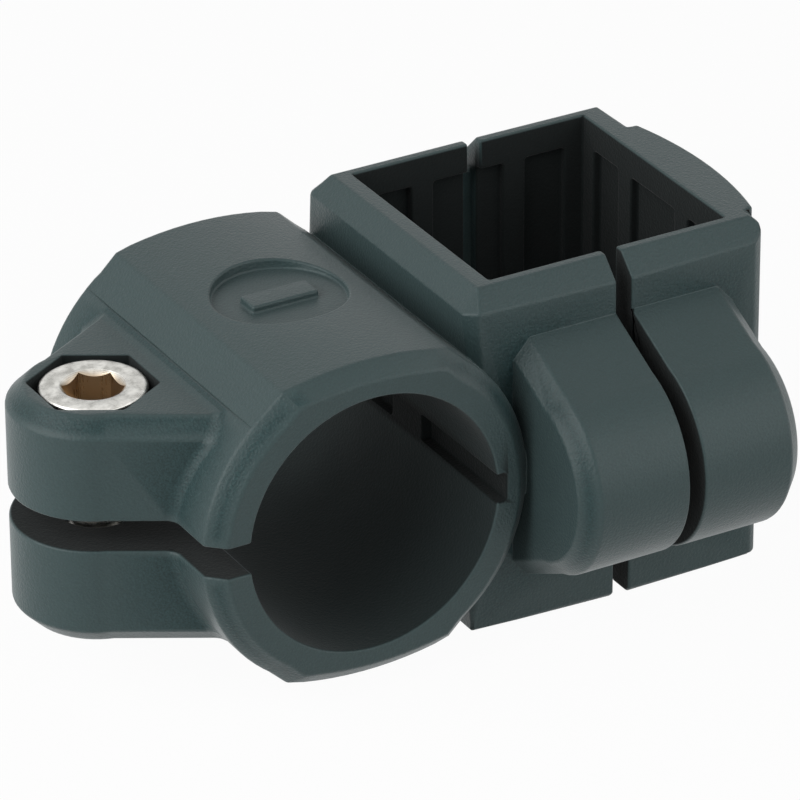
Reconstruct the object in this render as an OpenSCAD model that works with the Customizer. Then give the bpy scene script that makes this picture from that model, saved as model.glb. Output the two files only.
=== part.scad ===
// Cross joint for lean tubing: one moulded clamp body that holds a round tube and a square tube
// at a right angle, side by side. A socket head screw closes each of its two split clamps.
//
// Frame: the origin is on the axis of the round tube, at the middle of its bore.
// X runs from the round clamp's lug across to the square clamp, Y along the round tube,
// and Z along the square tube. All sizes are in millimetres.

/* [Tubes] */
// Outside diameter of the round tube
round_tube_d = 25; // [22:0.5:27]
// Outside width of the square tube
square_tube_w = 25; // [22:0.5:27]
// Clearance of the round tube in its bore, on the diameter
bore_clearance = 0.4; // [0.1:0.05:0.8]
// Clearance of the square tube in its socket, on the width
socket_clearance = 0.1; // [0.05:0.05:0.6]
// Thinnest wall between the round bore and the square socket
tube_web = 3.05; // [2.6:0.05:5]

/* [Round clamp] */
// Wall of the round clamp
ring_wall = 4; // [3.4:0.1:5.5]
// Length of the round clamp along its tube
ring_length = 35; // [31:0.5:42]
// Chamfer round both ends of the round clamp
ring_chamfer = 1.65; // [0.5:0.05:2.2]
// How much smaller the chamfer is along the crowned top and bottom
crown_chamfer_less = 0.15; // [0.1:0.05:0.4]
// How far the crowned top and bottom are cut below the round of the clamp
crown_cut = 0.8; // [0.4:0.05:1.6]
// Radius of the crowned top and bottom
crown_r = 35; // [28:1:60]
// Gap of the slot that splits the lug and the round clamp
slot_gap = 3; // [1.5:0.1:4]

/* [Hinge grooves of the round clamp] */
// Depth of the grooves in the bore, opposite the slot, that let the clamp flex
hinge_groove_depth = 0.9; // [0.3:0.1:1.4]
// Height of those grooves
hinge_groove_gap = 2.8; // [1:0.1:4]
// Length of the front groove, from the front end of the bore
front_groove_length = 13.8; // [6:0.1:15]
// Length of the solid bridge between the front and the rear groove
groove_bridge = 5.6; // [2:0.1:10]

/* [Square clamp] */
// Height of the square clamp along its tube
socket_height = 35; // [30:0.5:42]
// Wall of the square clamp on its front, back and far sides
socket_wall = 3; // [2.6:0.1:4.5]
// Wall of the square clamp on the side that joins the round clamp
near_wall = 3.8; // [3.4:0.1:5.5]
// Chamfer round the top of the square clamp
socket_chamfer = 2; // [0.5:0.1:2.4]
// Smaller edge break along the top and bottom of the far side
far_chamfer = 0.8; // [0.3:0.1:2]
// Edge break round the bottom of the square clamp
bottom_chamfer = 0.5; // [0.2:0.1:1.5]
// Radius of the square clamp's upright corners
socket_corner_r = 2; // [0.5:0.1:3]
// Gap of the slit that splits the front of the square clamp
slit_gap = 1.6; // [0.8:0.1:3]
// Height of the lips at the mouths of the socket
lip_height = 3; // [1.5:0.1:6]
// How far the socket's walls stand back between the lips
lip_step = 0.8; // [0.3:0.1:1.2]
// Width of the upright ribs that carry on from the lips down each wall
rib_w = 2.4; // [1:0.1:5]
// Distance between the two ribs of a wall, centre to centre
rib_pitch = 10; // [6:0.5:16]

/* [Back hinge of the square clamp] */
// Width of the notches and the groove in the back wall
back_notch_w = 1.3; // [0.8:0.1:2.5]
// How far they sit from the slit's plane, towards the far side
back_notch_shift = 0.6; // [0:0.1:1.5]
// Depth of the notches at the top and the bottom of the back wall
back_notch_depth = 3.7; // [1:0.1:8]
// Thickness of the thin wall left behind the groove
back_web = 1.3; // [0.8:0.1:2]

/* [Side pad] */
// Width of the curved pad on the far side
pad_w = 20.4; // [12:0.2:26]
// How far the pad stands out from the far side
pad_proud = 1.65; // [0.5:0.05:3]
// Radius of the pad's outer face
pad_r = 40; // [32:1:60]

/* [Lugs] */
// Distance from the wall of the bore or socket to the axis of its screw
screw_offset = 6.4; // [5.6:0.1:9]
// Chamfer round both ends of a lug
lug_chamfer = 1.65; // [0.5:0.05:2]
// Length of the round clamp's lug along its screw
round_lug_length = 23; // [21:0.5:26]
// Radius of its round nose
round_lug_nose_r = 7.95; // [7.6:0.05:9]
// Flare of its sides, from the nose to the clamp
round_lug_flare = 30; // [26:1:34]
// Length of the square clamp's lug along its screw
square_lug_length = 23.5; // [22:0.5:25]
// Radius of its round nose
square_lug_nose_r = 9.7; // [8.5:0.1:10.5]
// Flare of its sides, from the nose to the clamp
square_lug_flare = 26; // [20:1:32]

/* [Screws] */
// Nominal diameter of both screws
screw_d = 6; // [5:0.5:6]
// Clearance of a screw in the body, on the diameter
screw_clearance = 0.6; // [0.3:0.1:1]
// Clearance of a screw in its nut or insert, on the diameter
thread_clearance = 0.1; // [0.04:0.02:0.16]
// Diameter of a screw's head
head_d = 10; // [8.5:0.1:10]
// Height of a screw's head
head_h = 6; // [4:0.1:6]
// Edge break round the top of a screw's head
head_chamfer = 0.45; // [0.2:0.05:0.8]
// Size of the hex key, across flats
key_af = 5; // [3:0.5:5]
// Depth of the hex socket in the head
key_depth = 3; // [2:0.1:3.5]
// Length of the round clamp's screw under its head
round_screw_length = 16; // [14:0.5:16]
// Length of the square clamp's screw under its head
square_screw_length = 12; // [10:0.5:14]

/* [Nut and insert] */
// Width of the nut across its flats
nut_af = 10; // [8:0.1:10]
// Thickness of the nut
nut_h = 5.2; // [4:0.1:5.2]
// Clearance of the nut and the heads in their hex pockets, across flats
pocket_clearance = 0.4; // [0.2:0.1:0.6]
// Depth of the hex pockets
pocket_depth = 6.2; // [6:0.1:7]
// Outside diameter of the threaded insert in the square clamp's lug
insert_d = 8.4; // [7.6:0.1:9]
// Length of the threaded insert
insert_length = 7.5; // [5:0.1:8]
// Width of the groove round the middle of the insert
insert_groove_w = 1.6; // [0.6:0.1:2.5]
// Depth of that groove
insert_groove_depth = 0.5; // [0.2:0.05:0.7]

/* [Badge recess] */
// Diameter of the round recess on top of the round clamp
badge_d = 12.6; // [8:0.2:15]
// Depth of the recess below the crown
badge_depth = 1.1; // [0.4:0.1:1.6]
// Length of the plain raised bar in the recess
badge_bar_l = 6.8; // [3:0.2:8]
// Width of the raised bar
badge_bar_w = 2.6; // [1:0.2:4]
// Height of the raised bar above the floor of the recess
badge_bar_h = 0.7; // [0.2:0.1:1]

/* [Hidden] */

$fn = 96;
// A cut runs this far past the face that it opens
over = 1;
// Where a flat runs on from a round, it lies this far inside the round, so that the two cross cleanly
seam_inset = 0.1;

// Round clamp
bore_r = (round_tube_d + bore_clearance) / 2;
ring_r = bore_r + ring_wall;
ring_end = ring_length / 2;
crown_top = ring_r - crown_cut;
crown_axis = crown_top - crown_r;
// The flat flanks between the crown and the round touch the round at 45 degrees
flank_x = ring_r * cos(45);
ear_x = -(bore_r + screw_offset);

// Square clamp: its back is flush with the back end of the round clamp
socket_w = square_tube_w + socket_clearance;
socket_x = bore_r + tube_web + socket_w / 2;
near_x = socket_x - socket_w / 2 - near_wall;
far_x = socket_x + socket_w / 2 + socket_wall;
back_y = ring_end;
socket_y = back_y - socket_wall - socket_w / 2;
front_y = socket_y - socket_w / 2 - socket_wall;
socket_top = socket_height / 2;
lip_z = socket_top - lip_height;
boss_y = socket_y - socket_w / 2 - screw_offset;

// Screws, nut and insert
pocket_r = (nut_af + pocket_clearance) / 2 / cos(30);
round_seat = round_lug_length / 2 - pocket_depth;
square_seat = square_lug_length / 2 - pocket_depth;
shank_r = (screw_d - thread_clearance) / 2;
hole_r = (screw_d + screw_clearance) / 2;
// The square clamp's screw hole ends this far past the tip of the screw
tip_room = 1;
// The insert is flush with the face of the slit
insert_start = -slit_gap / 2;

// Turns a shape from the Z axis onto the Y axis
module along_y() {
    rotate([-90, 0, 0])
        children();
}

// Turns a lug from the round clamp's way (nose to -X, screw along Z)
// to the square clamp's way (nose to -Y, screw along X)
module as_square_lug() {
    translate([socket_x, boss_y, 0])
        rotate([90, 0, 90])
            children();
}

module as_round_lug() {
    translate([ear_x, 0, 0])
        children();
}

// Half the outline of something with both ends chamfered. The chamfers run on past the ends,
// so that one cut across the finished union makes each end face.
function chamfered_half(inner, r, length, chamfer) =
    let (
        h = length / 2,
        tip = r - chamfer - over
    ) [
        [inner, -h - over], [tip, -h - over], [r, chamfer - h],
        [r, h - chamfer], [tip, h + over], [inner, h + over]
    ];

// A cylinder along Z, centred, with chamfers that run on past its ends
module chamfered_cylinder(r, length, chamfer) {
    rotate_extrude()
        polygon(chamfered_half(0, r, length, chamfer));
}

module rounded_rectangle(w, h, r) {
    square([w - 2 * r, h], center = true);
    square([w, h - 2 * r], center = true);
    for (sx = [-1, 1], sy = [-1, 1])
        translate([sx * (w / 2 - r), sy * (h / 2 - r)])
            circle(r);
}

// The square bar, turned on its edge, whose faces are the flanks beside the crowns
module flank_bar() {
    intersection() {
        for_both_flanks(45);
        for_both_flanks(-45);
        cube([2 * flank_x, 2 * ring_length, 4 * ring_r], center = true);
    }
}

// What lies between two opposite flanks
module for_both_flanks(tilt) {
    flank_half = chamfered_half(0, ring_r - seam_inset, ring_length, ring_chamfer + seam_inset);
    rotate([0, tilt, 0])
        linear_extrude(4 * ring_r, center = true)
            union() {
                polygon(flank_half);
                mirror([1, 0, 0])
                    polygon(flank_half);
            }
}

// The outside of the round clamp: round at the sides, crowned at the top and the bottom
module ring_outside() {
    intersection() {
        union() {
            along_y()
                chamfered_cylinder(ring_r, ring_length, ring_chamfer);
            flank_bar();
        }
        crown_cylinder();
        mirror([0, 0, 1])
            crown_cylinder();
        cube([4 * ring_r, ring_length, 4 * ring_r], center = true);
    }
}

// A large cylinder, whose top is the crowned face
module crown_cylinder() {
    translate([0, 0, crown_axis])
        along_y()
            chamfered_cylinder(crown_r, ring_length, ring_chamfer - crown_chamfer_less);
}

// The outside of the square clamp
module socket_outside() {
    depth = back_y - front_y;
    mid_y = (back_y + front_y) / 2;
    intersection() {
        translate([(near_x + far_x) / 2, mid_y, 0])
            linear_extrude(socket_height, center = true)
                rounded_rectangle(far_x - near_x, depth, socket_corner_r);
        translate([0, mid_y, 0])
            rotate([90, 0, 0])
                linear_extrude(depth, center = true)
                    block_profile(near_x, far_x, far_chamfer, far_chamfer);
        translate([(near_x + far_x) / 2, 0, 0])
            rotate([90, 0, 90])
                linear_extrude(far_x - near_x, center = true)
                    block_profile(front_y, back_y, bottom_chamfer, socket_chamfer);
    }
}

// The square clamp seen from one side, with the edges of its end side broken by low and high
module block_profile(start, end, low, high) {
    polygon([
        [start, bottom_chamfer - socket_top], [start + bottom_chamfer, -socket_top],
        [end - low, -socket_top], [end, low - socket_top],
        [end, socket_top - high], [end - high, socket_top],
        [start + socket_chamfer, socket_top], [start, socket_top - socket_chamfer]
    ]);
}

// The curved pad on the far side, level with the top and the bottom
module side_pad() {
    intersection() {
        translate([far_x + pad_proud - pad_r, 0, 0])
            cylinder(r = pad_r, h = socket_height, center = true);
        translate([far_x - socket_wall / 2, -pad_w / 2, -socket_top])
            cube([socket_wall + pad_proud, pad_w, socket_height]);
    }
}

// One lug, with its screw along Z through the origin and its nose towards -X.
// It widens towards +X as far as reach.
module lug(length, nose_r, flare, reach) {
    start = -(nose_r - lug_chamfer) * sin(flare);
    intersection() {
        union() {
            chamfered_cylinder(nose_r, length, lug_chamfer);
            intersection() {
                lug_side(length, nose_r, flare);
                mirror([0, 1, 0])
                    lug_side(length, nose_r, flare);
                translate([start, -2 * nose_r, -length])
                    cube([reach - start, 4 * nose_r, 2 * length]);
            }
        }
        cube([4 * nose_r, 4 * nose_r, length], center = true);
    }
}

// What lies inside one flared, chamfered side of a lug
module lug_side(length, nose_r, flare) {
    side_half = chamfered_half(-2 * length, nose_r - seam_inset, length, lug_chamfer + seam_inset);
    rotate([0, 0, flare])
        rotate([90, 0, 90])
            linear_extrude(4 * length, center = true)
                polygon(side_half);
}

// A hex pocket that opens at the +Z end of a lug, with its floor at seat
module hex_pocket(seat) {
    translate([0, 0, seat])
        rotate([0, 0, 30])
            cylinder(r = pocket_r, h = pocket_depth + over, $fn = 6);
}

// The slot that splits the ear and the round clamp
module ear_slot() {
    reach = screw_offset + round_lug_nose_r + over;
    translate([-(bore_r + reach), -ring_end - over, -slot_gap / 2])
        cube([bore_r + reach, ring_length + 2 * over, slot_gap]);
}

// The two grooves in the bore, opposite the slot
module hinge_grooves() {
    rear_start = front_groove_length + groove_bridge - ring_end;
    translate([0, -ring_end - over, -hinge_groove_gap / 2])
        cube([bore_r + hinge_groove_depth, front_groove_length + over, hinge_groove_gap]);
    translate([0, rear_start, -hinge_groove_gap / 2])
        cube([bore_r + hinge_groove_depth, ring_end - rear_start + over, hinge_groove_gap]);
}

// The square socket, with the relief between its lips and the ribs left in that relief
module socket() {
    translate([socket_x, socket_y, 0]) {
        cube([socket_w, socket_w, socket_height + 2 * over], center = true);
        for (turn = [-90, 0, 90])
            rotate([0, 0, turn])
                wall_relief();
    }
}

// The relief in one wall, drawn on the wall that faces -Y, without the place of its ribs
module wall_relief() {
    bay_w = socket_w - 2 * socket_corner_r;
    translate([0, socket_w / 2, 0])
        difference() {
            cube([bay_w, 2 * lip_step, 2 * lip_z], center = true);
            for (side = [-1, 1])
                translate([side * rib_pitch / 2, 0, 0])
                    cube([rib_w, 2 * lip_step + over, 2 * lip_z + over], center = true);
        }
}

// The slit through the front of the square clamp and its lug
module front_slit() {
    reach = screw_offset + square_lug_nose_r + over;
    translate([socket_x - slit_gap / 2, boss_y - square_lug_nose_r - over, -socket_top - over])
        cube([slit_gap, reach + socket_w / 2, socket_height + 2 * over]);
}

// The notches at both ends of the back wall, and the groove that joins them inside
module back_hinge() {
    wall = socket_wall + 2 * over;
    translate([socket_x + back_notch_shift - back_notch_w / 2, 0, 0]) {
        for (end = [-1, 1])
            translate([0, back_y + over - wall, end * socket_top - back_notch_depth])
                cube([back_notch_w, wall, 2 * back_notch_depth]);
        translate([0, socket_y, -socket_top])
            cube([back_notch_w, socket_w / 2 + socket_wall - back_web, socket_height]);
    }
}

// The round recess on the crown
module badge_recess() {
    translate([0, 0, crown_top - badge_depth])
        cylinder(d = badge_d, h = badge_depth + over);
}

module badge_bar() {
    // It stands on the floor of the recess and reaches a little into it
    translate([-badge_bar_l / 2, -badge_bar_w / 2, crown_top - badge_depth - badge_bar_h])
        cube([badge_bar_l, badge_bar_w, 2 * badge_bar_h]);
}

// The holes and pockets for the screws, the nut and the insert
module fastener_holes() {
    as_round_lug() {
        cylinder(r = hole_r, h = round_lug_length, center = true);
        hex_pocket(round_seat);
        mirror([0, 0, 1])
            hex_pocket(round_seat);
    }
    as_square_lug() {
        blind_end = square_seat - square_screw_length - tip_room;
        translate([0, 0, blind_end])
            cylinder(r = hole_r, h = square_seat - blind_end + over);
        hex_pocket(square_seat);
        insert_envelope();
    }
}

// The outside of the insert, which is moulded into the body
module insert_envelope() {
    translate([0, 0, insert_start - insert_length])
        rotate_extrude()
            polygon(insert_profile(0));
}

// Half section of the insert outside of a radius
function insert_profile(inner_r) =
    let (
        r = insert_d / 2,
        low = (insert_length - insert_groove_w) / 2,
        high = low + insert_groove_w
    ) [
        [inner_r, 0], [r, 0], [r, low], [r - insert_groove_depth, low],
        [r - insert_groove_depth, high], [r, high], [r, insert_length], [inner_r, insert_length]
    ];

module clamp_body() {
    color([0.16, 0.19, 0.19]) {
        difference() {
            union() {
                ring_outside();
                socket_outside();
                side_pad();
                as_round_lug()
                    lug(round_lug_length, round_lug_nose_r, round_lug_flare, screw_offset + ring_wall);
                as_square_lug()
                    lug(square_lug_length, square_lug_nose_r, square_lug_flare, screw_offset);
            }
            along_y()
                cylinder(r = bore_r, h = ring_length + 2 * over, center = true);
            socket();
            ear_slot();
            hinge_grooves();
            front_slit();
            back_hinge();
            badge_recess();
            fastener_holes();
        }
        badge_bar();
    }
}

// A socket head cap screw along Z, its head on the seat and its tip towards -Z
module cap_screw(seat, length) {
    difference() {
        union() {
            translate([0, 0, seat])
                rotate_extrude()
                    polygon([
                        [0, 0], [head_d / 2, 0], [head_d / 2, head_h - head_chamfer],
                        [head_d / 2 - head_chamfer, head_h], [0, head_h]
                    ]);
            translate([0, 0, seat - length])
                rotate_extrude()
                    polygon([
                        [0, 0], [shank_r - head_chamfer, 0], [shank_r, head_chamfer],
                        [shank_r, length + head_chamfer], [0, length + head_chamfer]
                    ]);
        }
        translate([0, 0, seat + head_h - key_depth])
            cylinder(d = key_af / cos(30), h = key_depth + over, $fn = 6);
    }
}

module round_clamp_screw() {
    color([0.78, 0.77, 0.73])
        as_round_lug()
            cap_screw(round_seat, round_screw_length);
}

module square_clamp_screw() {
    color([0.78, 0.77, 0.73])
        as_square_lug()
            cap_screw(square_seat, square_screw_length);
}

// The nut sits against the floor of the lower hex pocket
module round_clamp_nut() {
    color([0.74, 0.73, 0.7])
        as_round_lug()
            translate([0, 0, -round_seat - nut_h])
                difference() {
                    rotate([0, 0, 30])
                        cylinder(d = nut_af / cos(30), h = nut_h, $fn = 6);
                    translate([0, 0, -over])
                        cylinder(d = screw_d, h = nut_h + 2 * over);
                }
}

module square_clamp_insert() {
    color([0.72, 0.58, 0.3])
        as_square_lug()
            translate([0, 0, insert_start - insert_length])
                rotate_extrude()
                    polygon(insert_profile(screw_d / 2));
}

clamp_body();
round_clamp_screw();
round_clamp_nut();
square_clamp_screw();
square_clamp_insert();
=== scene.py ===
"""The looks of a lean tube joint: a moulded cross clamp with its two cap screws.

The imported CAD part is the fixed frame. Each piece here stands for one of its nodes and keeps its size:
the moulding gets its soft edges and grain, and the screws, the nut and the insert get their threads.
All sizes are in metres.
"""

from __future__ import annotations

import logging
import math
from dataclasses import dataclass
from enum import Enum
from typing import Any

import bmesh
import bpy
from mathutils import Matrix, Vector

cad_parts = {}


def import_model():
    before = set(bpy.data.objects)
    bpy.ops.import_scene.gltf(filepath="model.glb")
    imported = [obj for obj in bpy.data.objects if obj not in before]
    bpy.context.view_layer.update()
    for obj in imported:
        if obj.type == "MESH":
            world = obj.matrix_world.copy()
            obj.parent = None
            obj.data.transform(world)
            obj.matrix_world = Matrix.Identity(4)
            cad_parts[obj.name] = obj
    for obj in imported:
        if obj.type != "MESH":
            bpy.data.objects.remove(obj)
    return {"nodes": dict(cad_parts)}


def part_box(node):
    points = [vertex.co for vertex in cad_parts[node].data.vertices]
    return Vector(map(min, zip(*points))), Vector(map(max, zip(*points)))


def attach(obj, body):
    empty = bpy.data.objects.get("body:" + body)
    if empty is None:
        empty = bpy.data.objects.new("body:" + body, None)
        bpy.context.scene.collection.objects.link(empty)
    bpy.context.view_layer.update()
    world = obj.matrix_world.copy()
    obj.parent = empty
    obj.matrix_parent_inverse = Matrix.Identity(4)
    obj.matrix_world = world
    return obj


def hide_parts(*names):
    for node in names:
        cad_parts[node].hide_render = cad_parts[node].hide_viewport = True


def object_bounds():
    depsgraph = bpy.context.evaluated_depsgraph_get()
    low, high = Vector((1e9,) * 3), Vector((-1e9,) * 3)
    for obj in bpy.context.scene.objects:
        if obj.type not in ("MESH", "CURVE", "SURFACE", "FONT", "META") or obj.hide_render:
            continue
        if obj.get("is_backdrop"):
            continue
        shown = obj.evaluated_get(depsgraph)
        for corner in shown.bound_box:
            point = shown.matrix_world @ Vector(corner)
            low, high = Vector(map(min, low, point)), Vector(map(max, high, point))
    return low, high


Tone = tuple[float, float, float]

LOG = logging.getLogger("lean_tube_joint")
MM = 0.001
NEAR = 1e-7
SAME_WAY = 0.999


class Part(Enum):
    """The CAD nodes that are dressed."""

    BODY = "clamp_body"
    ROUND_SCREW = "round_clamp_screw"
    ROUND_NUT = "round_clamp_nut"
    SQUARE_SCREW = "square_clamp_screw"
    SQUARE_INSERT = "square_clamp_insert"


class Carrier(Enum):
    """The moving bodies that pieces ride on."""

    JOINT = "joint_body"
    ROUND_SCREW = "round_screw"
    SQUARE_SCREW = "square_screw"


class Slot(Enum):
    """Names for material slots of the part; the pieces here do not take them."""

    PLASTIC = "body_plastic"
    SCREW = "screw_steel"
    NUT = "nut_steel"
    INSERT = "insert_brass"


class Mark(Enum):
    """Attributes that the meshes hand to their materials."""

    # Painted highlight: lightens the rounded edge strips.
    EDGE = "soft_edge"
    # Painted shade: darkens the walls of the bore, the socket, the cuts and the pockets.
    INNER_SHADE = "inner_wall"
    KEY = "key_socket"


# ---------------------------------------------------------------- shader writing


class Signal:
    """An output socket whose arithmetic adds Math nodes."""

    def __init__(self, recipe: "Recipe", socket: bpy.types.NodeSocket) -> None:
        """Wraps a socket.

        Args:
            recipe: The recipe that the socket belongs to.
            socket: The output socket.
        """
        self.recipe = recipe
        self.socket = socket

    def _math(self, operation: str, *terms: "Signal | float") -> "Signal":
        """Adds one Math node.

        Args:
            operation: The Math node's operation.
            terms: Its inputs, in order.

        Returns:
            The node's result.
        """
        return self.recipe.add("Math", {"operation": operation}, Value=list(terms))

    def __add__(self, other: "Signal | float") -> "Signal":
        """Sum."""
        return self._math("ADD", self, other)

    __radd__ = __add__

    def __mul__(self, other: "Signal | float") -> "Signal":
        """Product."""
        return self._math("MULTIPLY", self, other)

    __rmul__ = __mul__

    def __sub__(self, other: "Signal | float") -> "Signal":
        """Difference."""
        return self._math("SUBTRACT", self, other)

    def __rsub__(self, other: "Signal | float") -> "Signal":
        """Difference from a number."""
        return self._math("SUBTRACT", other, self)

    def sine(self) -> "Signal":
        """The sine of the value, in radians."""
        return self._math("SINE", self)

    def largest(self, other: "Signal | float") -> "Signal":
        """The larger of two values."""
        return self._math("MAXIMUM", self, other)


class Recipe:
    """The nodes of one material or world."""

    def __init__(self, owner: bpy.types.Material | bpy.types.World) -> None:
        """Empties the owner's node tree.

        Args:
            owner: What the nodes are for.
        """
        owner.use_nodes = True
        self.owner = owner
        self.tree = owner.node_tree
        self.tree.nodes.clear()

    def add(
        self, kind: str, settings: dict[str, Any] | None = None, output: str | int = 0, **inputs: Any
    ) -> Signal:
        """Adds one node.

        Args:
            kind: The node's type, without its ShaderNode prefix.
            settings: Its own settings; a ramp takes "stops", a list of (place, grey).
            output: Which output to hand back.
            inputs: Values or links for its inputs, by name with _ for a space. A list fills the
                inputs that share a name, in order.

        Returns:
            The chosen output.
        """
        node = self.tree.nodes.new("ShaderNode" + kind)
        for key, value in (settings or {}).items():
            if key == "stops":
                self._set_stops(node.color_ramp, value)
            else:
                setattr(node, key, value)
        for key, value in inputs.items():
            name = key.replace("_", " ")
            sockets = [s for s in node.inputs if s.name == name and s.enabled]
            for socket, item in zip(sockets, value if isinstance(value, list) else [value]):
                if isinstance(item, Signal):
                    self.tree.links.new(item.socket, socket)
                else:
                    socket.default_value = item
        if isinstance(output, str):
            return Signal(self, next(s for s in node.outputs if s.name == output and s.enabled))
        return Signal(self, node.outputs[output])

    def _set_stops(self, ramp: bpy.types.ColorRamp, stops: list[tuple[float, float]]) -> None:
        """Sets the stops of a ramp.

        Args:
            ramp: The ramp.
            stops: Its stops, as (place, grey).
        """
        while len(ramp.elements) < len(stops):
            ramp.elements.new(1.0)
        for element, (place, grey) in zip(ramp.elements, stops):
            element.position = place
            element.color = (grey, grey, grey, 1.0)

    def mix(self, mask: Signal, low: Signal | Tone, high: Signal | Tone) -> Signal:
        """Mixes two colours by a mask.

        Args:
            mask: 0 gives low, 1 gives high.
            low: The first colour.
            high: The second colour.

        Returns:
            The mixed colour.
        """
        first, second = (c if isinstance(c, Signal) else (*c, 1.0) for c in (low, high))
        return self.add("Mix", {"data_type": "RGBA"}, output="Result", Factor=mask, A=first, B=second)

    def place(self, centre: Vector | None = None) -> Signal:
        """Object coordinates, in metres.

        Args:
            centre: The point that becomes the pattern's origin.

        Returns:
            The coordinates.
        """
        here = self.add("TexCoord", output="Object")
        if centre is None:
            return here
        return self.add("Mapping", Vector=here, Location=tuple(-centre))

    def mark(self, mark: Mark) -> Signal:
        """A mask that the mesh carries.

        Args:
            mark: Which attribute.

        Returns:
            Its value, from 0 to 1.
        """
        return self.add("Attribute", {"attribute_name": mark.value}, output="Fac")

    def noise(self, where: Signal, size: float, detail: float = 2.0, roughness: float = 0.5) -> Signal:
        """Noise from 0 to 1.

        Args:
            where: The coordinates.
            size: The width of its largest lumps.
            detail: How many octaves.
            roughness: The weight of the finer octaves.

        Returns:
            The noise.
        """
        return self.add("TexNoise", Vector=where, Scale=1.0 / size, Detail=detail, Roughness=roughness)

    def bump(self, height: Signal, depth: float) -> Signal:
        """A normal that is bumped by a height.

        Args:
            height: The height, from 0 to 1.
            depth: What a height of 1 stands for.

        Returns:
            The normal.
        """
        return self.add("Bump", Height=height, Distance=depth, Strength=1.0)

    def end(self, shader: Signal) -> None:
        """Ends the tree with a shader.

        Args:
            shader: The surface or background shader.
        """
        kind = "OutputMaterial" if isinstance(self.owner, bpy.types.Material) else "OutputWorld"
        node = self.tree.nodes.new("ShaderNode" + kind)
        self.tree.links.new(shader.socket, node.inputs["Surface"])


# ---------------------------------------------------------------- finishes


@dataclass(frozen=True)
class MouldedPlastic:
    """Glass-fibre filled polyamide with a fine eroded grain."""

    deep: Tone = (0.003, 0.018, 0.019)
    pale: Tone = (0.025, 0.062, 0.064)
    # Painted highlight: the lighter tone laid along the rounded edges.
    painted_edge_highlight: Tone = (0.055, 0.085, 0.086)
    # Painted shade: the near-black tone that the inner walls are darkened to.
    inner: Tone = (0.002, 0.005, 0.005)
    grain: float = 0.18 * MM
    grain_depth: float = 0.05 * MM
    cloud: float = 9.0 * MM
    pits_per_grain: float = 0.6
    speckle_share: float = 0.7
    # Painted highlight: how strongly the rounded edges are lightened.
    edge_highlight_share: float = 0.6
    roughness: float = 0.38
    cloud_dulling: float = 0.1
    grain_dulling: float = 0.12
    inside_dulling: float = 0.5

    def make(self) -> bpy.types.Material:
        """Writes the material.

        Returns:
            The material.
        """
        material = bpy.data.materials.new("moulded_polyamide")
        recipe = Recipe(material)
        here = recipe.place()
        grain = recipe.noise(here, self.grain, 3.0, 0.6)
        cloud = recipe.noise(here, self.cloud, 4.0)
        pit_scale = self.pits_per_grain / self.grain
        pits = recipe.add("TexVoronoi", {"feature": "F1"}, Vector=here, Scale=pit_scale)
        speckle = recipe.add("ValToRGB", {"stops": [(0.36, 0.0), (0.66, 1.0)]}, Fac=grain)
        blotches = speckle * self.speckle_share + cloud * (1.0 - self.speckle_share)
        face = recipe.mix(blotches, self.deep, self.pale)
        # The rounded edge strips get a painted highlight, lighter than the faces.
        outside = recipe.mix(recipe.mark(Mark.EDGE) * self.edge_highlight_share, face, self.painted_edge_highlight)
        # The inner mask paints shade on the walls of the bore, the socket, the cuts and the pockets, and also
        # makes them rougher.
        painted_shade_and_dulling = recipe.mark(Mark.INNER_SHADE)
        least = self.roughness - (self.cloud_dulling + self.grain_dulling) / 2
        uneven = cloud * self.cloud_dulling + grain * self.grain_dulling
        shader = recipe.add(
            "BsdfPrincipled",
            Base_Color=recipe.mix(painted_shade_and_dulling, outside, self.inner),
            Roughness=uneven + painted_shade_and_dulling * self.inside_dulling + least,
            Normal=recipe.bump(grain * 0.7 + pits * 0.5, self.grain_depth),
            IOR=1.46,
            Specular_IOR_Level=0.32,
            Sheen_Weight=0.1,
            Sheen_Roughness=0.5,
        )
        recipe.end(shader)
        return material


@dataclass(frozen=True)
class TurnedMetal:
    """Turned metal with fine rings round its axis."""

    name: str
    bright: Tone
    dull: Tone
    socket: Tone
    roughness: float
    ring: float = 0.12 * MM
    ring_depth: float = 0.004 * MM
    smear: float = 1.2 * MM
    ring_wander: float = 3.0
    wear_share: float = 0.75
    smear_dulling: float = 0.16
    ring_dulling: float = 0.05

    def make(self, centre: Vector, axis: Vector) -> bpy.types.Material:
        """Writes the material for a piece that turns about an axis.

        Args:
            centre: A point on the axis.
            axis: The axis.

        Returns:
            The material.
        """
        material = bpy.data.materials.new(self.name)
        recipe = Recipe(material)
        here = recipe.place(centre)
        across = recipe.add("VectorMath", {"operation": "CROSS_PRODUCT"}, Vector=[here, tuple(axis)])
        radius = recipe.add("VectorMath", {"operation": "LENGTH"}, output="Value", Vector=across)
        smear = recipe.noise(here, self.smear, 4.0, 0.6)
        rings = (radius * (2.0 * math.pi / self.ring) + smear * self.ring_wander).sine() * 0.5 + 0.5
        wear = recipe.add("ValToRGB", {"stops": [(0.36, 0.0), (0.64, 1.0)]}, Fac=smear)
        face = recipe.mix(wear * self.wear_share + rings * (1.0 - self.wear_share), self.dull, self.bright)
        shader = recipe.add(
            "BsdfPrincipled",
            Base_Color=recipe.mix(recipe.mark(Mark.KEY), face, self.socket),
            Metallic=1.0,
            Roughness=smear * self.smear_dulling + rings * self.ring_dulling + (self.roughness - 0.1),
            Normal=recipe.bump(rings, self.ring_depth),
        )
        recipe.end(shader)
        return material


STAINLESS = TurnedMetal("stainless", (0.80, 0.79, 0.75), (0.36, 0.355, 0.33), (0.44, 0.35, 0.25), 0.3)
ZINC = TurnedMetal("zinc_plate", (0.72, 0.72, 0.70), (0.52, 0.52, 0.51), (0.5, 0.5, 0.5), 0.38)
BRASS = TurnedMetal("turned_brass", (0.80, 0.62, 0.30), (0.60, 0.44, 0.20), (0.6, 0.45, 0.2), 0.35)


# ---------------------------------------------------------------- mesh helpers


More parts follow.
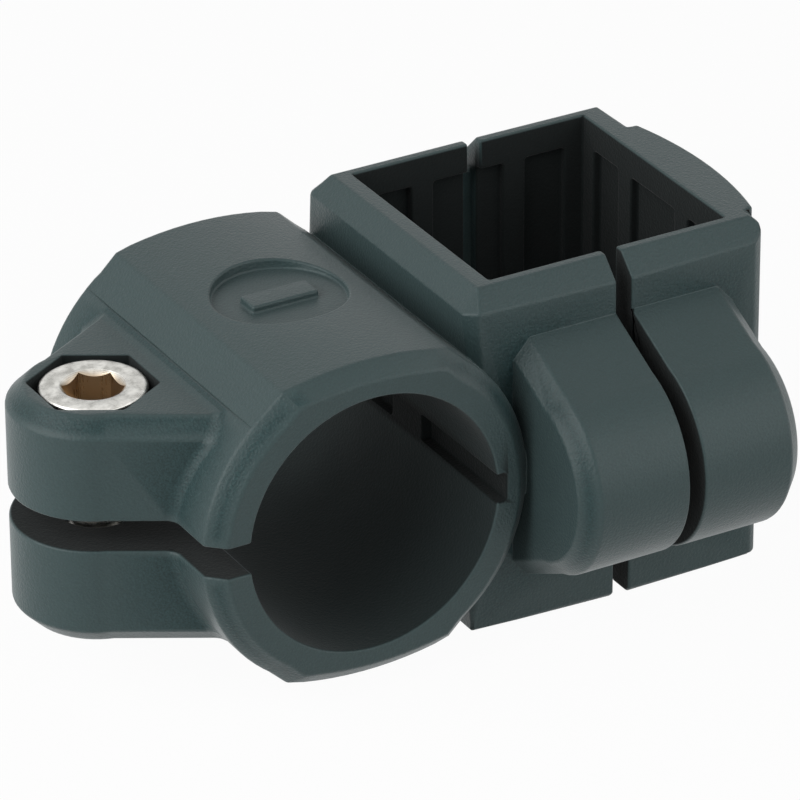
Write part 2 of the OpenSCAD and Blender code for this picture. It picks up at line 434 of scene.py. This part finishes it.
def put_on(
    name: str, bm: bmesh.types.BMesh, material: bpy.types.Material, part: Part, carrier: Carrier,
    smooth: float,
) -> bpy.types.Object:
    """Turns a finished mesh into a piece of the part.

    Args:
        name: The piece's name.
        bm: Its mesh, which is freed.
        material: Its material.
        part: The CAD node that it stands for.
        carrier: The body that it rides on.
        smooth: Edges that turn by more than this many degrees stay sharp.

    Returns:
        The piece.
    """
    bmesh.ops.remove_doubles(bm, verts=bm.verts, dist=0.001 * MM)
    bmesh.ops.dissolve_degenerate(bm, edges=bm.edges, dist=0.001 * MM)
    mesh = bpy.data.meshes.new(name)
    bm.to_mesh(mesh)
    bm.free()
    for polygon in mesh.polygons:
        polygon.use_smooth = True
    mesh.set_sharp_from_angle(angle=math.radians(smooth))
    mesh.materials.append(material)
    piece = bpy.data.objects.new(name, mesh)
    bpy.context.collection.objects.link(piece)
    flats = piece.modifiers.new("flat faces", "WEIGHTED_NORMAL")
    flats.keep_sharp = True
    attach(piece, carrier.value)
    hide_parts(part.value)
    LOG.info("%s: %d faces", name, len(mesh.polygons))
    return piece


# ---------------------------------------------------------------- the moulding


@dataclass(frozen=True)
class LugEnd:
    """Both ends of the round clamp's lug, with their hex pockets."""

    axis: float
    face: float
    pocket_reach: float = 6.1 * MM
    pocket_depth: float = 6.3 * MM
    face_slack: float = 0.05 * MM
    pocket_inset: float = 0.08 * MM
    lug_start: float = -8.0 * MM

    def _over_pocket(self, point: Vector) -> bool:
        """Whether a point is within the width of the pockets."""
        return math.hypot(point.x - self.axis, point.y) < self.pocket_reach

    def holds(self, point: Vector) -> bool:
        """Whether a point is on an end face, or in a pocket.

        Args:
            point: The point.

        Returns:
            True there.
        """
        in_pocket = self._over_pocket(point) and abs(point.z) > self.face - self.pocket_depth
        on_face = abs(abs(point.z) - self.face) < self.face_slack
        return in_pocket or (on_face and point.x < self.lug_start)

    def is_inside(self, point: Vector) -> bool:
        """Whether a point is within the pockets' width, and below the end faces."""
        return self._over_pocket(point) and abs(point.z) < self.face - self.pocket_inset


@dataclass
class Moulding:
    """The one-piece clamp body, with the soft edges and the root blends that its mould gives it."""

    edge_radius: float = 0.24 * MM
    edge_steps: int = 2
    crisp_radius: float = 0.11 * MM
    sharp_from: float = 24.0
    shortest: float = 0.34 * MM
    large_face: float = 12.0 * MM * MM
    lug_faces: tuple[float, float] = (-30 * MM, -14 * MM)
    wall_faces: tuple[float, float] = (20 * MM, 50 * MM)
    slot_half: float = 1.5 * MM
    slit_half: float = 0.8 * MM
    slit_start: float = -8.0 * MM
    cut_slack: float = 0.03 * MM
    bore_radius: float = 12.7 * MM
    # Painted shade: how far the rest of the bore is darkened.
    bore_shade: float = 0.75
    groove_half: float = 1.5 * MM
    groove_depth: float = 1.0 * MM
    socket: Vector = Vector((28.3, 1.95, 0.0)) * MM
    socket_half: float = 12.55 * MM
    relief_depth: float = 0.9 * MM
    relief_half: float = 14.8 * MM
    wall_slack: float = 0.04 * MM
    ear_start: float = -8.0 * MM
    ear_flat: float = 6.4 * MM
    ear_foot: float = 15.0 * MM
    boss_start: float = 14.0 * MM
    boss_slack: float = 0.05 * MM
    ear_root: float = 1.2 * MM
    boss_root: float = 0.9 * MM
    root_steps: int = 7

    def build(self, nodes: dict[str, bpy.types.Object], finish: MouldedPlastic) -> bpy.types.Object:
        """Copies the CAD body, rounds its edges and dresses it.

        Args:
            nodes: The CAD nodes.
            finish: The finish of the plastic.

        Returns:
            The piece.
        """
        bm = bmesh.new()
        bm.verts.layers.float.new(Mark.EDGE.value)
        bm.verts.layers.float.new(Mark.INNER_SHADE.value)
        bm.from_mesh(nodes[Part.BODY.value].data)
        bmesh.ops.remove_doubles(bm, verts=bm.verts, dist=0.002 * MM)
        bmesh.ops.dissolve_limit(
            bm, angle_limit=math.radians(0.3), use_dissolve_boundaries=False, verts=bm.verts, edges=bm.edges
        )
        self._merge_short_edges(bm)
        low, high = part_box(Part.ROUND_SCREW.value)
        end = LugEnd((low.x + high.x) / 2, self._flat(bm, Vector((0, 0, 1)), self.lug_faces))
        ends = [f for f in bm.faces if all(end.holds(v.co) for v in f.verts)]
        bmesh.ops.triangulate(bm, faces=[f for f in ends if abs(f.normal.z) > SAME_WAY])
        self._blend_roots(bm, end.axis)
        self._round_edges(bm, bm.verts.layers.float[Mark.EDGE.value], end)
        self._paint_inner_shade(bm, bm.verts.layers.float[Mark.INNER_SHADE.value], end)
        low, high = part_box(Part.BODY.value)
        for vert in bm.verts:
            vert.co = [min(max(c, a), b) for c, a, b in zip(vert.co, low, high)]
        return put_on("clamp_moulding", bm, finish.make(), Part.BODY, Carrier.JOINT, 60.0)

    def _merge_short_edges(self, bm: bmesh.types.BMesh) -> None:
        """Closes up the short steps where seams meet, which are narrower than the soft edges.

        Args:
            bm: The body's mesh.
        """
        short = [
            e for e in bm.edges
            if e.calc_length() < self.shortest and e.calc_face_angle(0.0) > math.radians(1.0)
        ]
        bmesh.ops.collapse(bm, edges=short, uvs=False)

    def _paint_inner_shade(self, bm: bmesh.types.BMesh, mark: bmesh.types.BMLayerItem, end: LugEnd) -> None:
        """Paints shade on the walls of the bore, the socket, the cuts and the pockets: a mark that darkens
        them (painted shade) and makes them duller.

        Args:
            bm: The body's mesh.
            mark: The layer that takes the mark.
            end: The ends of the round lug.
        """
        for vert in bm.verts:
            point = vert.co
            across = point - self.socket
            aside = max(abs(across.x), abs(across.y))
            walls = (
                0 < point.x < self.bore_radius + self.groove_depth and abs(point.z) < self.groove_half,
                aside < self.socket_half + self.wall_slack,
                aside < self.socket_half + self.relief_depth and abs(point.z) < self.relief_half,
                point.x < 0 and abs(point.z) < self.slot_half + self.cut_slack,
                across.y < self.slit_start and abs(across.x) < self.slit_half + self.cut_slack,
                end.is_inside(point),
            )
            # These walls get full painted shade; the rest of the bore gets a lighter painted shade.
            if any(walls):
                vert[mark] = 1.0
            elif math.hypot(point.x, point.z) < self.bore_radius + self.wall_slack:
                vert[mark] = self.bore_shade

    def _is_ear_root(self, point: Vector, axis: float) -> bool:
        """Whether a point may lie at the root of the round clamp's lug, whose screw is on an axis."""
        off_screw = math.hypot(point.x - axis, point.y) > self.ear_flat
        return point.x < self.ear_start and off_screw and math.hypot(point.x, point.z) > self.ear_foot

    def _is_boss_root(self, point: Vector, wall: float) -> bool:
        """Whether a point may lie at the root of the square clamp's lug, on its wall."""
        return abs(point.y + wall) < self.boss_slack and point.x > self.boss_start

    def _blend_roots(self, bm: bmesh.types.BMesh, axis: float) -> None:
        """Fills the roots of both lugs, where they rise out of the clamps.

        Args:
            bm: The body's mesh.
            axis: Where the round lug's screw stands along X.
        """
        wall = self._flat(bm, Vector((0, -1, 0)), self.wall_faces)
        for is_root, place, width in (
            (self._is_ear_root, axis, self.ear_root),
            (self._is_boss_root, wall, self.boss_root),
        ):
            roots = [
                e for e in bm.edges
                if len(e.link_faces) == 2 and e.calc_face_angle_signed() < -math.radians(self.sharp_from)
                and all(is_root(v.co, place) for v in e.verts)
            ]
            bmesh.ops.bevel(
                bm, geom=roots, offset=width, offset_type="OFFSET", segments=self.root_steps,
                profile=0.5, affect="EDGES", material=-1, clamp_overlap=True,
            )

    def _flat(self, bm: bmesh.types.BMesh, facing: Vector, stretch: tuple[float, float]) -> float:
        """How far out the outermost large flat face lies that faces one way, in a stretch along X.

        Args:
            bm: The body's mesh.
            facing: The way that it faces, along an axis.
            stretch: Where the stretch starts and ends.

        Returns:
            Its distance from the origin.
        """
        start, stop = stretch
        return max(
            f.verts[0].co.dot(facing) for f in bm.faces
            if f.normal.dot(facing) > SAME_WAY and start < f.calc_center_median().x < stop
            and f.calc_area() > self.large_face
        )

    def _round_edges(self, bm: bmesh.types.BMesh, mark: bmesh.types.BMLayerItem, end: LugEnd) -> None:
        """Rounds every sharp edge and marks the new strips, which take a painted highlight. The round lug's
        end faces stay crisper.

        Args:
            bm: The body's mesh.
            mark: The layer that marks the soft edges.
            end: The ends of the round lug.
        """
        limit = math.radians(self.sharp_from)
        for crisp, radius, steps in (
            (False, self.edge_radius, self.edge_steps),
            (True, self.crisp_radius, 1),
        ):
            edges = [
                e for e in bm.edges
                if len(e.link_faces) == 2 and e.calc_face_angle() > limit
                and crisp == all(end.holds(v.co) for v in e.verts)
            ]
            made = bmesh.ops.bevel(
                bm, geom=edges, offset=radius, offset_type="OFFSET", segments=steps,
                profile=0.5, affect="EDGES", material=-1, clamp_overlap=False, miter_outer="ARC",
            )
            for vert in made["verts"]:
                vert[mark] = 1.0


# ---------------------------------------------------------------- screws, nut and insert


@dataclass
class Thread:
    """A helical thread along the local Z axis, from one height to another."""

    root: float
    crest: float
    start: float
    end: float
    pitch: float = 1.0 * MM
    steps: int = 40

    def add_to(self, bm: bmesh.types.BMesh) -> None:
        """Winds the thread's profile round the axis and cuts it off square at both heights.

        Args:
            bm: The mesh that takes it.
        """
        first = math.floor(self.start / self.pitch) - 2
        last = math.ceil(self.end / self.pitch) + 1
        shape = ((0.0, self.root), (0.25, self.root), (0.56, self.crest), (0.69, self.crest))
        chain = [
            bm.verts.new((radius, 0.0, (turn + place) * self.pitch))
            for turn in range(first, last)
            for place, radius in shape
        ]
        edges = [bm.edges.new(pair) for pair in zip(chain, chain[1:])]
        bmesh.ops.spin(
            bm, geom=chain + edges, cent=(0, 0, 0), axis=(0, 0, 1), angle=2 * math.pi,
            dvec=(0, 0, self.pitch / self.steps), steps=self.steps,
        )
        bmesh.ops.remove_doubles(bm, verts=bm.verts, dist=0.001 * MM)
        for height, normal in ((self.start, (0, 0, -1)), (self.end, (0, 0, 1))):
            bmesh.ops.bisect_plane(
                bm, geom=bm.verts[:] + bm.edges[:] + bm.faces[:], dist=NEAR,
                plane_co=(0, 0, height), plane_no=normal, clear_outer=True,
            )


def spin_outline(
    bm: bmesh.types.BMesh, outline: list[tuple[float, float]], steps: int
) -> list[list[bmesh.types.BMVert]]:
    """Spins an outline of (radius, height) points round the Z axis.

    Args:
        bm: The mesh that takes it.
        outline: The points, in order.
        steps: How many steps make a turn.

    Returns:
        The vertices of each ring, in the outline's order.
    """
    chain = [bm.verts.new((radius, 0.0, height)) for radius, height in outline]
    edges = [bm.edges.new(pair) for pair in zip(chain, chain[1:])]
    before = set(bm.verts)
    bmesh.ops.spin(
        bm, geom=chain + edges, cent=(0, 0, 0), axis=(0, 0, 1), angle=2 * math.pi, steps=steps, use_merge=True
    )
    rings = []
    made = [v for v in bm.verts if v not in before] + chain
    for radius, height in outline:
        rings.append([
            v for v in made
            if v.is_valid and abs(v.co.z - height) < NEAR and abs(math.hypot(v.co.x, v.co.y) - radius) < NEAR
        ])
    return rings


def hex_radius(angle: float, across: float) -> float:
    """The distance from a hexagon's centre to its side.

    Args:
        angle: The direction, in radians; 0 points at the middle of a side.
        across: The hexagon's width across its flats.

    Returns:
        The distance.
    """
    sector = math.pi / 3
    return across / 2 / math.cos((angle + sector / 2) % sector - sector / 2)


def set_radius(vert: bmesh.types.BMVert, radius: float) -> None:
    """Moves a vertex to a distance from the Z axis.

    Args:
        vert: The vertex.
        radius: The distance.
    """
    angle = math.atan2(vert.co.y, vert.co.x)
    vert.co.x = radius * math.cos(angle)
    vert.co.y = radius * math.sin(angle)


def knurl(rings: list[list[bmesh.types.BMVert]], steps: int, radius: float) -> None:
    """Sinks every second vertex of some rings.

    Args:
        rings: The rings.
        steps: How many vertices a ring has.
        radius: How far from the axis the sunk ones lie.
    """
    for ring in rings:
        for vert in ring:
            slot = round(math.atan2(vert.co.y, vert.co.x) / (2 * math.pi) * steps)
            if slot % 2:
                set_radius(vert, radius)


def close_ends(bm: bmesh.types.BMesh, height: float) -> None:
    """Joins the open rims of a thread and of what surrounds it, at both of their ends.

    Args:
        bm: The mesh, which starts at a height of zero.
        height: The height of its other end.
    """
    for level in (0.0, height):
        rim = [
            e for e in bm.edges
            if e.is_boundary and all(abs(v.co.z - level) < 10 * NEAR for v in e.verts)
        ]
        bmesh.ops.bridge_loops(bm, edges=rim)


@dataclass
class CapScrew:
    """A socket head cap screw, from the box of its CAD node."""

    part: Part
    carrier: Carrier
    along: Vector
    head_height: float = 6.0 * MM
    rim: float = 0.45 * MM
    key: float = 5.0 * MM
    key_depth: float = 3.0 * MM
    key_cone: float = 0.9 * MM
    shank_radius: float = 2.95 * MM
    thread_root: float = 2.42 * MM
    knurl_depth: float = 0.1 * MM
    knurl_ramp: float = 0.2 * MM
    foot: float = 0.3 * MM
    side_inset: float = 0.04 * MM
    ridge_inset: float = 0.02 * MM
    lip: float = 0.05 * MM
    steps: int = 120

    def build(self) -> bpy.types.Object:
        """Makes the head and the threaded shank and puts them in the CAD screw's place.

        Returns:
            The piece.
        """
        low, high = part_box(self.part.value)
        length = (high - low).dot(self.along) - self.head_height
        head = (high - low).dot(Vector((1, 1, 1)) - self.along) / 4
        bm = self._shank(length)
        self._add_head(bm, head)
        centre = (low + high) / 2
        seat = centre + self.along * ((high - low).dot(self.along) / 2 - self.head_height)
        turn = Vector((0, 0, 1)).rotation_difference(self.along).to_matrix().to_4x4()
        bmesh.ops.transform(bm, matrix=Matrix.Translation(seat) @ turn, verts=bm.verts)
        bmesh.ops.recalc_face_normals(bm, faces=bm.faces)
        material = STAINLESS.make(seat, self.along)
        return put_on(self.part.value + "_threaded", bm, material, self.part, self.carrier, 35.0)

    def _shank(self, length: float) -> bmesh.types.BMesh:
        """Makes the threaded shank, with its pointed end.

        Args:
            length: Its length under the head.

        Returns:
            The mesh.
        """
        bm = bmesh.new()
        bm.verts.layers.float.new(Mark.KEY.value)
        Thread(self.thread_root, self.shank_radius, -length, self.lip).add_to(bm)
        for vert in bm.verts:
            allowed = self.thread_root + (vert.co.z + length)
            if math.hypot(vert.co.x, vert.co.y) > allowed:
                set_radius(vert, allowed)
        bmesh.ops.holes_fill(bm, edges=[e for e in bm.edges if e.is_boundary], sides=0)
        return bm

    def _add_head(self, bm: bmesh.types.BMesh, radius: float) -> None:
        """Adds the head with its rounded rim, its knurled side and its hex socket.

        Args:
            bm: The screw's mesh.
            radius: The head's radius.
        """
        top = self.head_height
        mouth = self.key / 2 / math.cos(math.pi / 6) + 0.12 * MM
        floor = top - self.key_depth
        knurl_low, knurl_high = 0.7 * MM, top - 1.3 * MM
        side, ridge = radius - self.side_inset, radius - self.ridge_inset
        inner = mouth - 0.3 * MM
        arc = [math.radians(a) for a in (0, 22, 45, 68, 90)]
        outline = [(0.0, 0.0), (radius - self.foot, 0.0), (side, self.foot), (side, knurl_low)]
        outline += [(ridge, knurl_low + self.knurl_ramp), (ridge, knurl_high - self.knurl_ramp)]
        outline += [(side, knurl_high)]
        outline += [
            (radius - self.rim * (1 - math.cos(a)), top - self.rim * (1 - math.sin(a))) for a in arc
        ]
        outline += [(mouth + 0.1 * MM, top), (mouth, top - self.lip)]
        outline += [(inner, top - 0.4 * MM), (inner, floor), (0.0, floor - self.key_cone)]
        rings = spin_outline(bm, outline, self.steps)
        knurl([rings[4], rings[5]], self.steps, radius - self.knurl_depth)
        mark = bm.verts.layers.float[Mark.KEY.value]
        for index, ring in enumerate(rings[-3:]):
            for vert in ring:
                vert[mark] = 1.0
                if index < 2:
                    reach = hex_radius(math.atan2(vert.co.y, vert.co.x), self.key)
                    set_radius(vert, reach)
                    if index == 0:
                        vert.co.z = top - self.lip - (mouth - reach)


@dataclass
class HexNut:
    """The nut in the lower pocket of the round clamp's lug."""

    hole: float = 3.02 * MM
    thread_root: float = 3.4 * MM
    across: float = 10.0 * MM
    chamfer: float = 30.0
    bevel: float = 0.1 * MM
    steps: int = 120

    def build(self) -> bpy.types.Object:
        """Makes the nut with its chamfered corners and its thread.

        Returns:
            The piece.
        """
        low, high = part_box(Part.ROUND_NUT.value)
        height = high.z - low.z
        bm = bmesh.new()
        Thread(self.thread_root, self.hole, 0.0, height, steps=self.steps // 3).add_to(bm)
        face = self.across / 2 - 0.15 * MM
        mouth = self.thread_root + 0.1 * MM
        outline = [(mouth, 0.0), (face, 0.0), (face + self.bevel, self.bevel)]
        outline += [(face + self.bevel, height - self.bevel), (face, height), (mouth, height)]
        rings = spin_outline(bm, outline, self.steps)
        drop = math.tan(math.radians(self.chamfer))
        for ring, side in ((rings[2], 1), (rings[3], -1)):
            for vert in ring:
                reach = hex_radius(math.atan2(vert.co.y, vert.co.x), self.across)
                end = 0.0 if side > 0 else height
                set_radius(vert, reach)
                vert.co.z = end + side * max((reach - face) * drop, 0.02 * MM)
        close_ends(bm, height)
        centre = Vector(((low.x + high.x) / 2, (low.y + high.y) / 2, low.z))
        bmesh.ops.translate(bm, verts=bm.verts, vec=centre)
        bmesh.ops.recalc_face_normals(bm, faces=bm.faces)
        material = ZINC.make(centre, Vector((0, 0, 1)))
        return put_on("round_clamp_nut_threaded", bm, material, Part.ROUND_NUT, Carrier.JOINT, 25.0)


@dataclass
class KnurledInsert:
    """The threaded insert that is moulded into the square clamp's lug."""

    hole: float = 3.02 * MM
    thread_root: float = 3.4 * MM
    groove_depth: float = 0.5 * MM
    groove_width: float = 1.6 * MM
    knurl_depth: float = 0.16 * MM
    bevel: float = 0.2 * MM
    steps: int = 96

    def build(self) -> bpy.types.Object:
        """Makes the insert, knurled on both sides of its groove.

        Returns:
            The piece.
        """
        low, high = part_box(Part.SQUARE_INSERT.value)
        length = high.x - low.x
        radius = (high.y - low.y) / 2
        bm = bmesh.new()
        Thread(self.thread_root, self.hole, 0.0, length, steps=self.steps // 2).add_to(bm)
        first = (length - self.groove_width) / 2
        second = first + self.groove_width
        mouth = self.thread_root + 0.1 * MM
        waist = radius - self.groove_depth
        side = radius - 0.001 * MM
        outline = [(mouth, 0.0), (radius - self.bevel, 0.0), (side, self.bevel), (side, first)]
        outline += [(waist, first), (waist, second), (side, second), (side, length - self.bevel)]
        outline += [(radius - self.bevel, length), (mouth, length)]
        rings = spin_outline(bm, outline, self.steps)
        knurl([rings[2], rings[3], rings[6], rings[7]], self.steps, radius - self.knurl_depth)
        close_ends(bm, length)
        start = Vector((low.x, (low.y + high.y) / 2, (low.z + high.z) / 2))
        turn = Vector((0, 0, 1)).rotation_difference(Vector((1, 0, 0))).to_matrix().to_4x4()
        bmesh.ops.transform(bm, matrix=Matrix.Translation(start) @ turn, verts=bm.verts)
        bmesh.ops.recalc_face_normals(bm, faces=bm.faces)
        material = BRASS.make(start, Vector((1, 0, 0)))
        return put_on(
            "square_clamp_insert_knurled", bm, material, Part.SQUARE_INSERT, Carrier.JOINT, 25.0
        )


# ---------------------------------------------------------------- studio


def seen(recipe: Recipe) -> Signal:
    """A mask for what the camera sees, directly, mirrored or through glass.

    Args:
        recipe: The recipe that takes it.

    Returns:
        1 for such rays, 0 for the light that falls on things.
    """
    straight, mirrored, through = (
        recipe.add("LightPath", output=name)
        for name in ("Is Camera Ray", "Is Glossy Ray", "Is Transmission Ray")
    )
    return straight.largest(mirrored).largest(through)


@dataclass(frozen=True)
class Camera:
    """A long lens that looks at the joint from its front left and above."""

    azimuth: float = -29.54
    elevation: float = 28.04
    roll: float = -0.37
    aside: float = 10.83 * MM
    up: float = 4.0 * MM
    distance: float = 589.76 * MM
    lens: float = 289.66
    sensor: float = 36.0
    clip: tuple[float, float] = (0.01, 10.0)

    def build(self) -> None:
        """Makes the scene's camera."""
        turn, lift = math.radians(self.azimuth), math.radians(self.elevation)
        back = Vector((math.sin(turn) * math.cos(lift), -math.cos(turn) * math.cos(lift), math.sin(lift)))
        right = Vector((math.cos(turn), math.sin(turn), 0.0))
        right.rotate(Matrix.Rotation(math.radians(self.roll), 3, back))
        above = back.cross(right)
        data = bpy.data.cameras.new("camera")
        data.lens = self.lens
        data.sensor_width = self.sensor
        data.clip_start, data.clip_end = self.clip
        camera = bpy.data.objects.new("camera", data)
        axes = Matrix((right, above, back)).transposed()
        where = back * self.distance + right * self.aside + above * self.up
        camera.matrix_world = Matrix.Translation(where) @ axes.to_4x4()
        bpy.context.collection.objects.link(camera)
        bpy.context.scene.camera = camera


@dataclass(frozen=True)
class SoftBox:
    """One square soft light that faces the joint."""

    name: str
    where: tuple[float, float, float]
    power: float
    size: float = 0.45

    def build(self, target: Vector) -> None:
        """Hangs the light.

        Args:
            target: The point that it faces.
        """
        data = bpy.data.lights.new(self.name, "AREA")
        data.size = self.size
        data.energy = self.power
        light = bpy.data.objects.new(self.name, data)
        light.location = self.where
        light.rotation_euler = (target - Vector(self.where)).to_track_quat("-Z", "Y").to_euler()
        bpy.context.collection.objects.link(light)


@dataclass(frozen=True)
class Studio:
    """A pale floor, a white surround and four large soft lights."""

    lights: tuple[SoftBox, ...] = (
        SoftBox("left", (-0.362, -0.004, 0.197), 1.8),
        SoftBox("right_front", (0.176, -0.362, 0.144), 0.6),
        SoftBox("right", (0.360, -0.207, 0.130), 0.4),
        SoftBox("top", (-0.025, -0.068, 0.414), 0.15),
    )
    surround: float = 0.01
    floor_white: float = 0.86
    floor_glow: float = 0.96
    floor_half: float = 3.0

    def build(self, low: Vector, high: Vector) -> None:
        """Sets up floor, world and lights round the object.

        Args:
            low: The object's lowest corner.
            high: Its highest corner.
        """
        centre = (low + high) / 2
        self._floor(low.z)
        self._world()
        for light in self.lights:
            light.build(centre)

    def _floor(self, height: float) -> None:
        """Lays the floor.

        Args:
            height: Its height.
        """
        bm = bmesh.new()
        bmesh.ops.create_grid(bm, x_segments=1, y_segments=1, size=self.floor_half)
        bmesh.ops.translate(bm, verts=bm.verts, vec=(0, 0, height))
        mesh = bpy.data.meshes.new("floor")
        bm.to_mesh(mesh)
        bm.free()
        material = bpy.data.materials.new("floor_paper")
        recipe = Recipe(material)
        paper = recipe.add("BsdfDiffuse", Color=(self.floor_white,) * 3 + (1.0,))
        glow = recipe.add("Emission", Color=(1, 1, 1, 1), Strength=1.0)
        recipe.end(recipe.add("MixShader", Fac=seen(recipe) * self.floor_glow, Shader=[paper, glow]))
        mesh.materials.append(material)
        floor = bpy.data.objects.new("floor", mesh)
        bpy.context.collection.objects.link(floor)
        floor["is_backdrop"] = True

    def _world(self) -> None:
        """Makes the surround white where it is seen or mirrored, and softer where it lights."""
        world = bpy.data.worlds.new("surround")
        recipe = Recipe(world)
        level = seen(recipe) * (1.0 - self.surround) + self.surround
        recipe.end(recipe.add("Background", Color=(1, 1, 1, 1), Strength=level))
        bpy.context.scene.world = world


def main() -> None:
    """Builds the joint, its studio and its camera."""
    logging.basicConfig(level=logging.INFO, format="%(name)s: %(message)s")
    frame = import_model()
    cad_low, cad_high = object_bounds()
    Moulding().build(frame["nodes"], MouldedPlastic())
    CapScrew(Part.ROUND_SCREW, Carrier.ROUND_SCREW, Vector((0, 0, 1))).build()
    CapScrew(Part.SQUARE_SCREW, Carrier.SQUARE_SCREW, Vector((1, 0, 0))).build()
    HexNut().build()
    KnurledInsert().build()
    Studio().build(cad_low, cad_high)
    Camera().build()
    bpy.context.scene.view_settings.view_transform = "Standard"


if __name__ == "__main__":
    main()
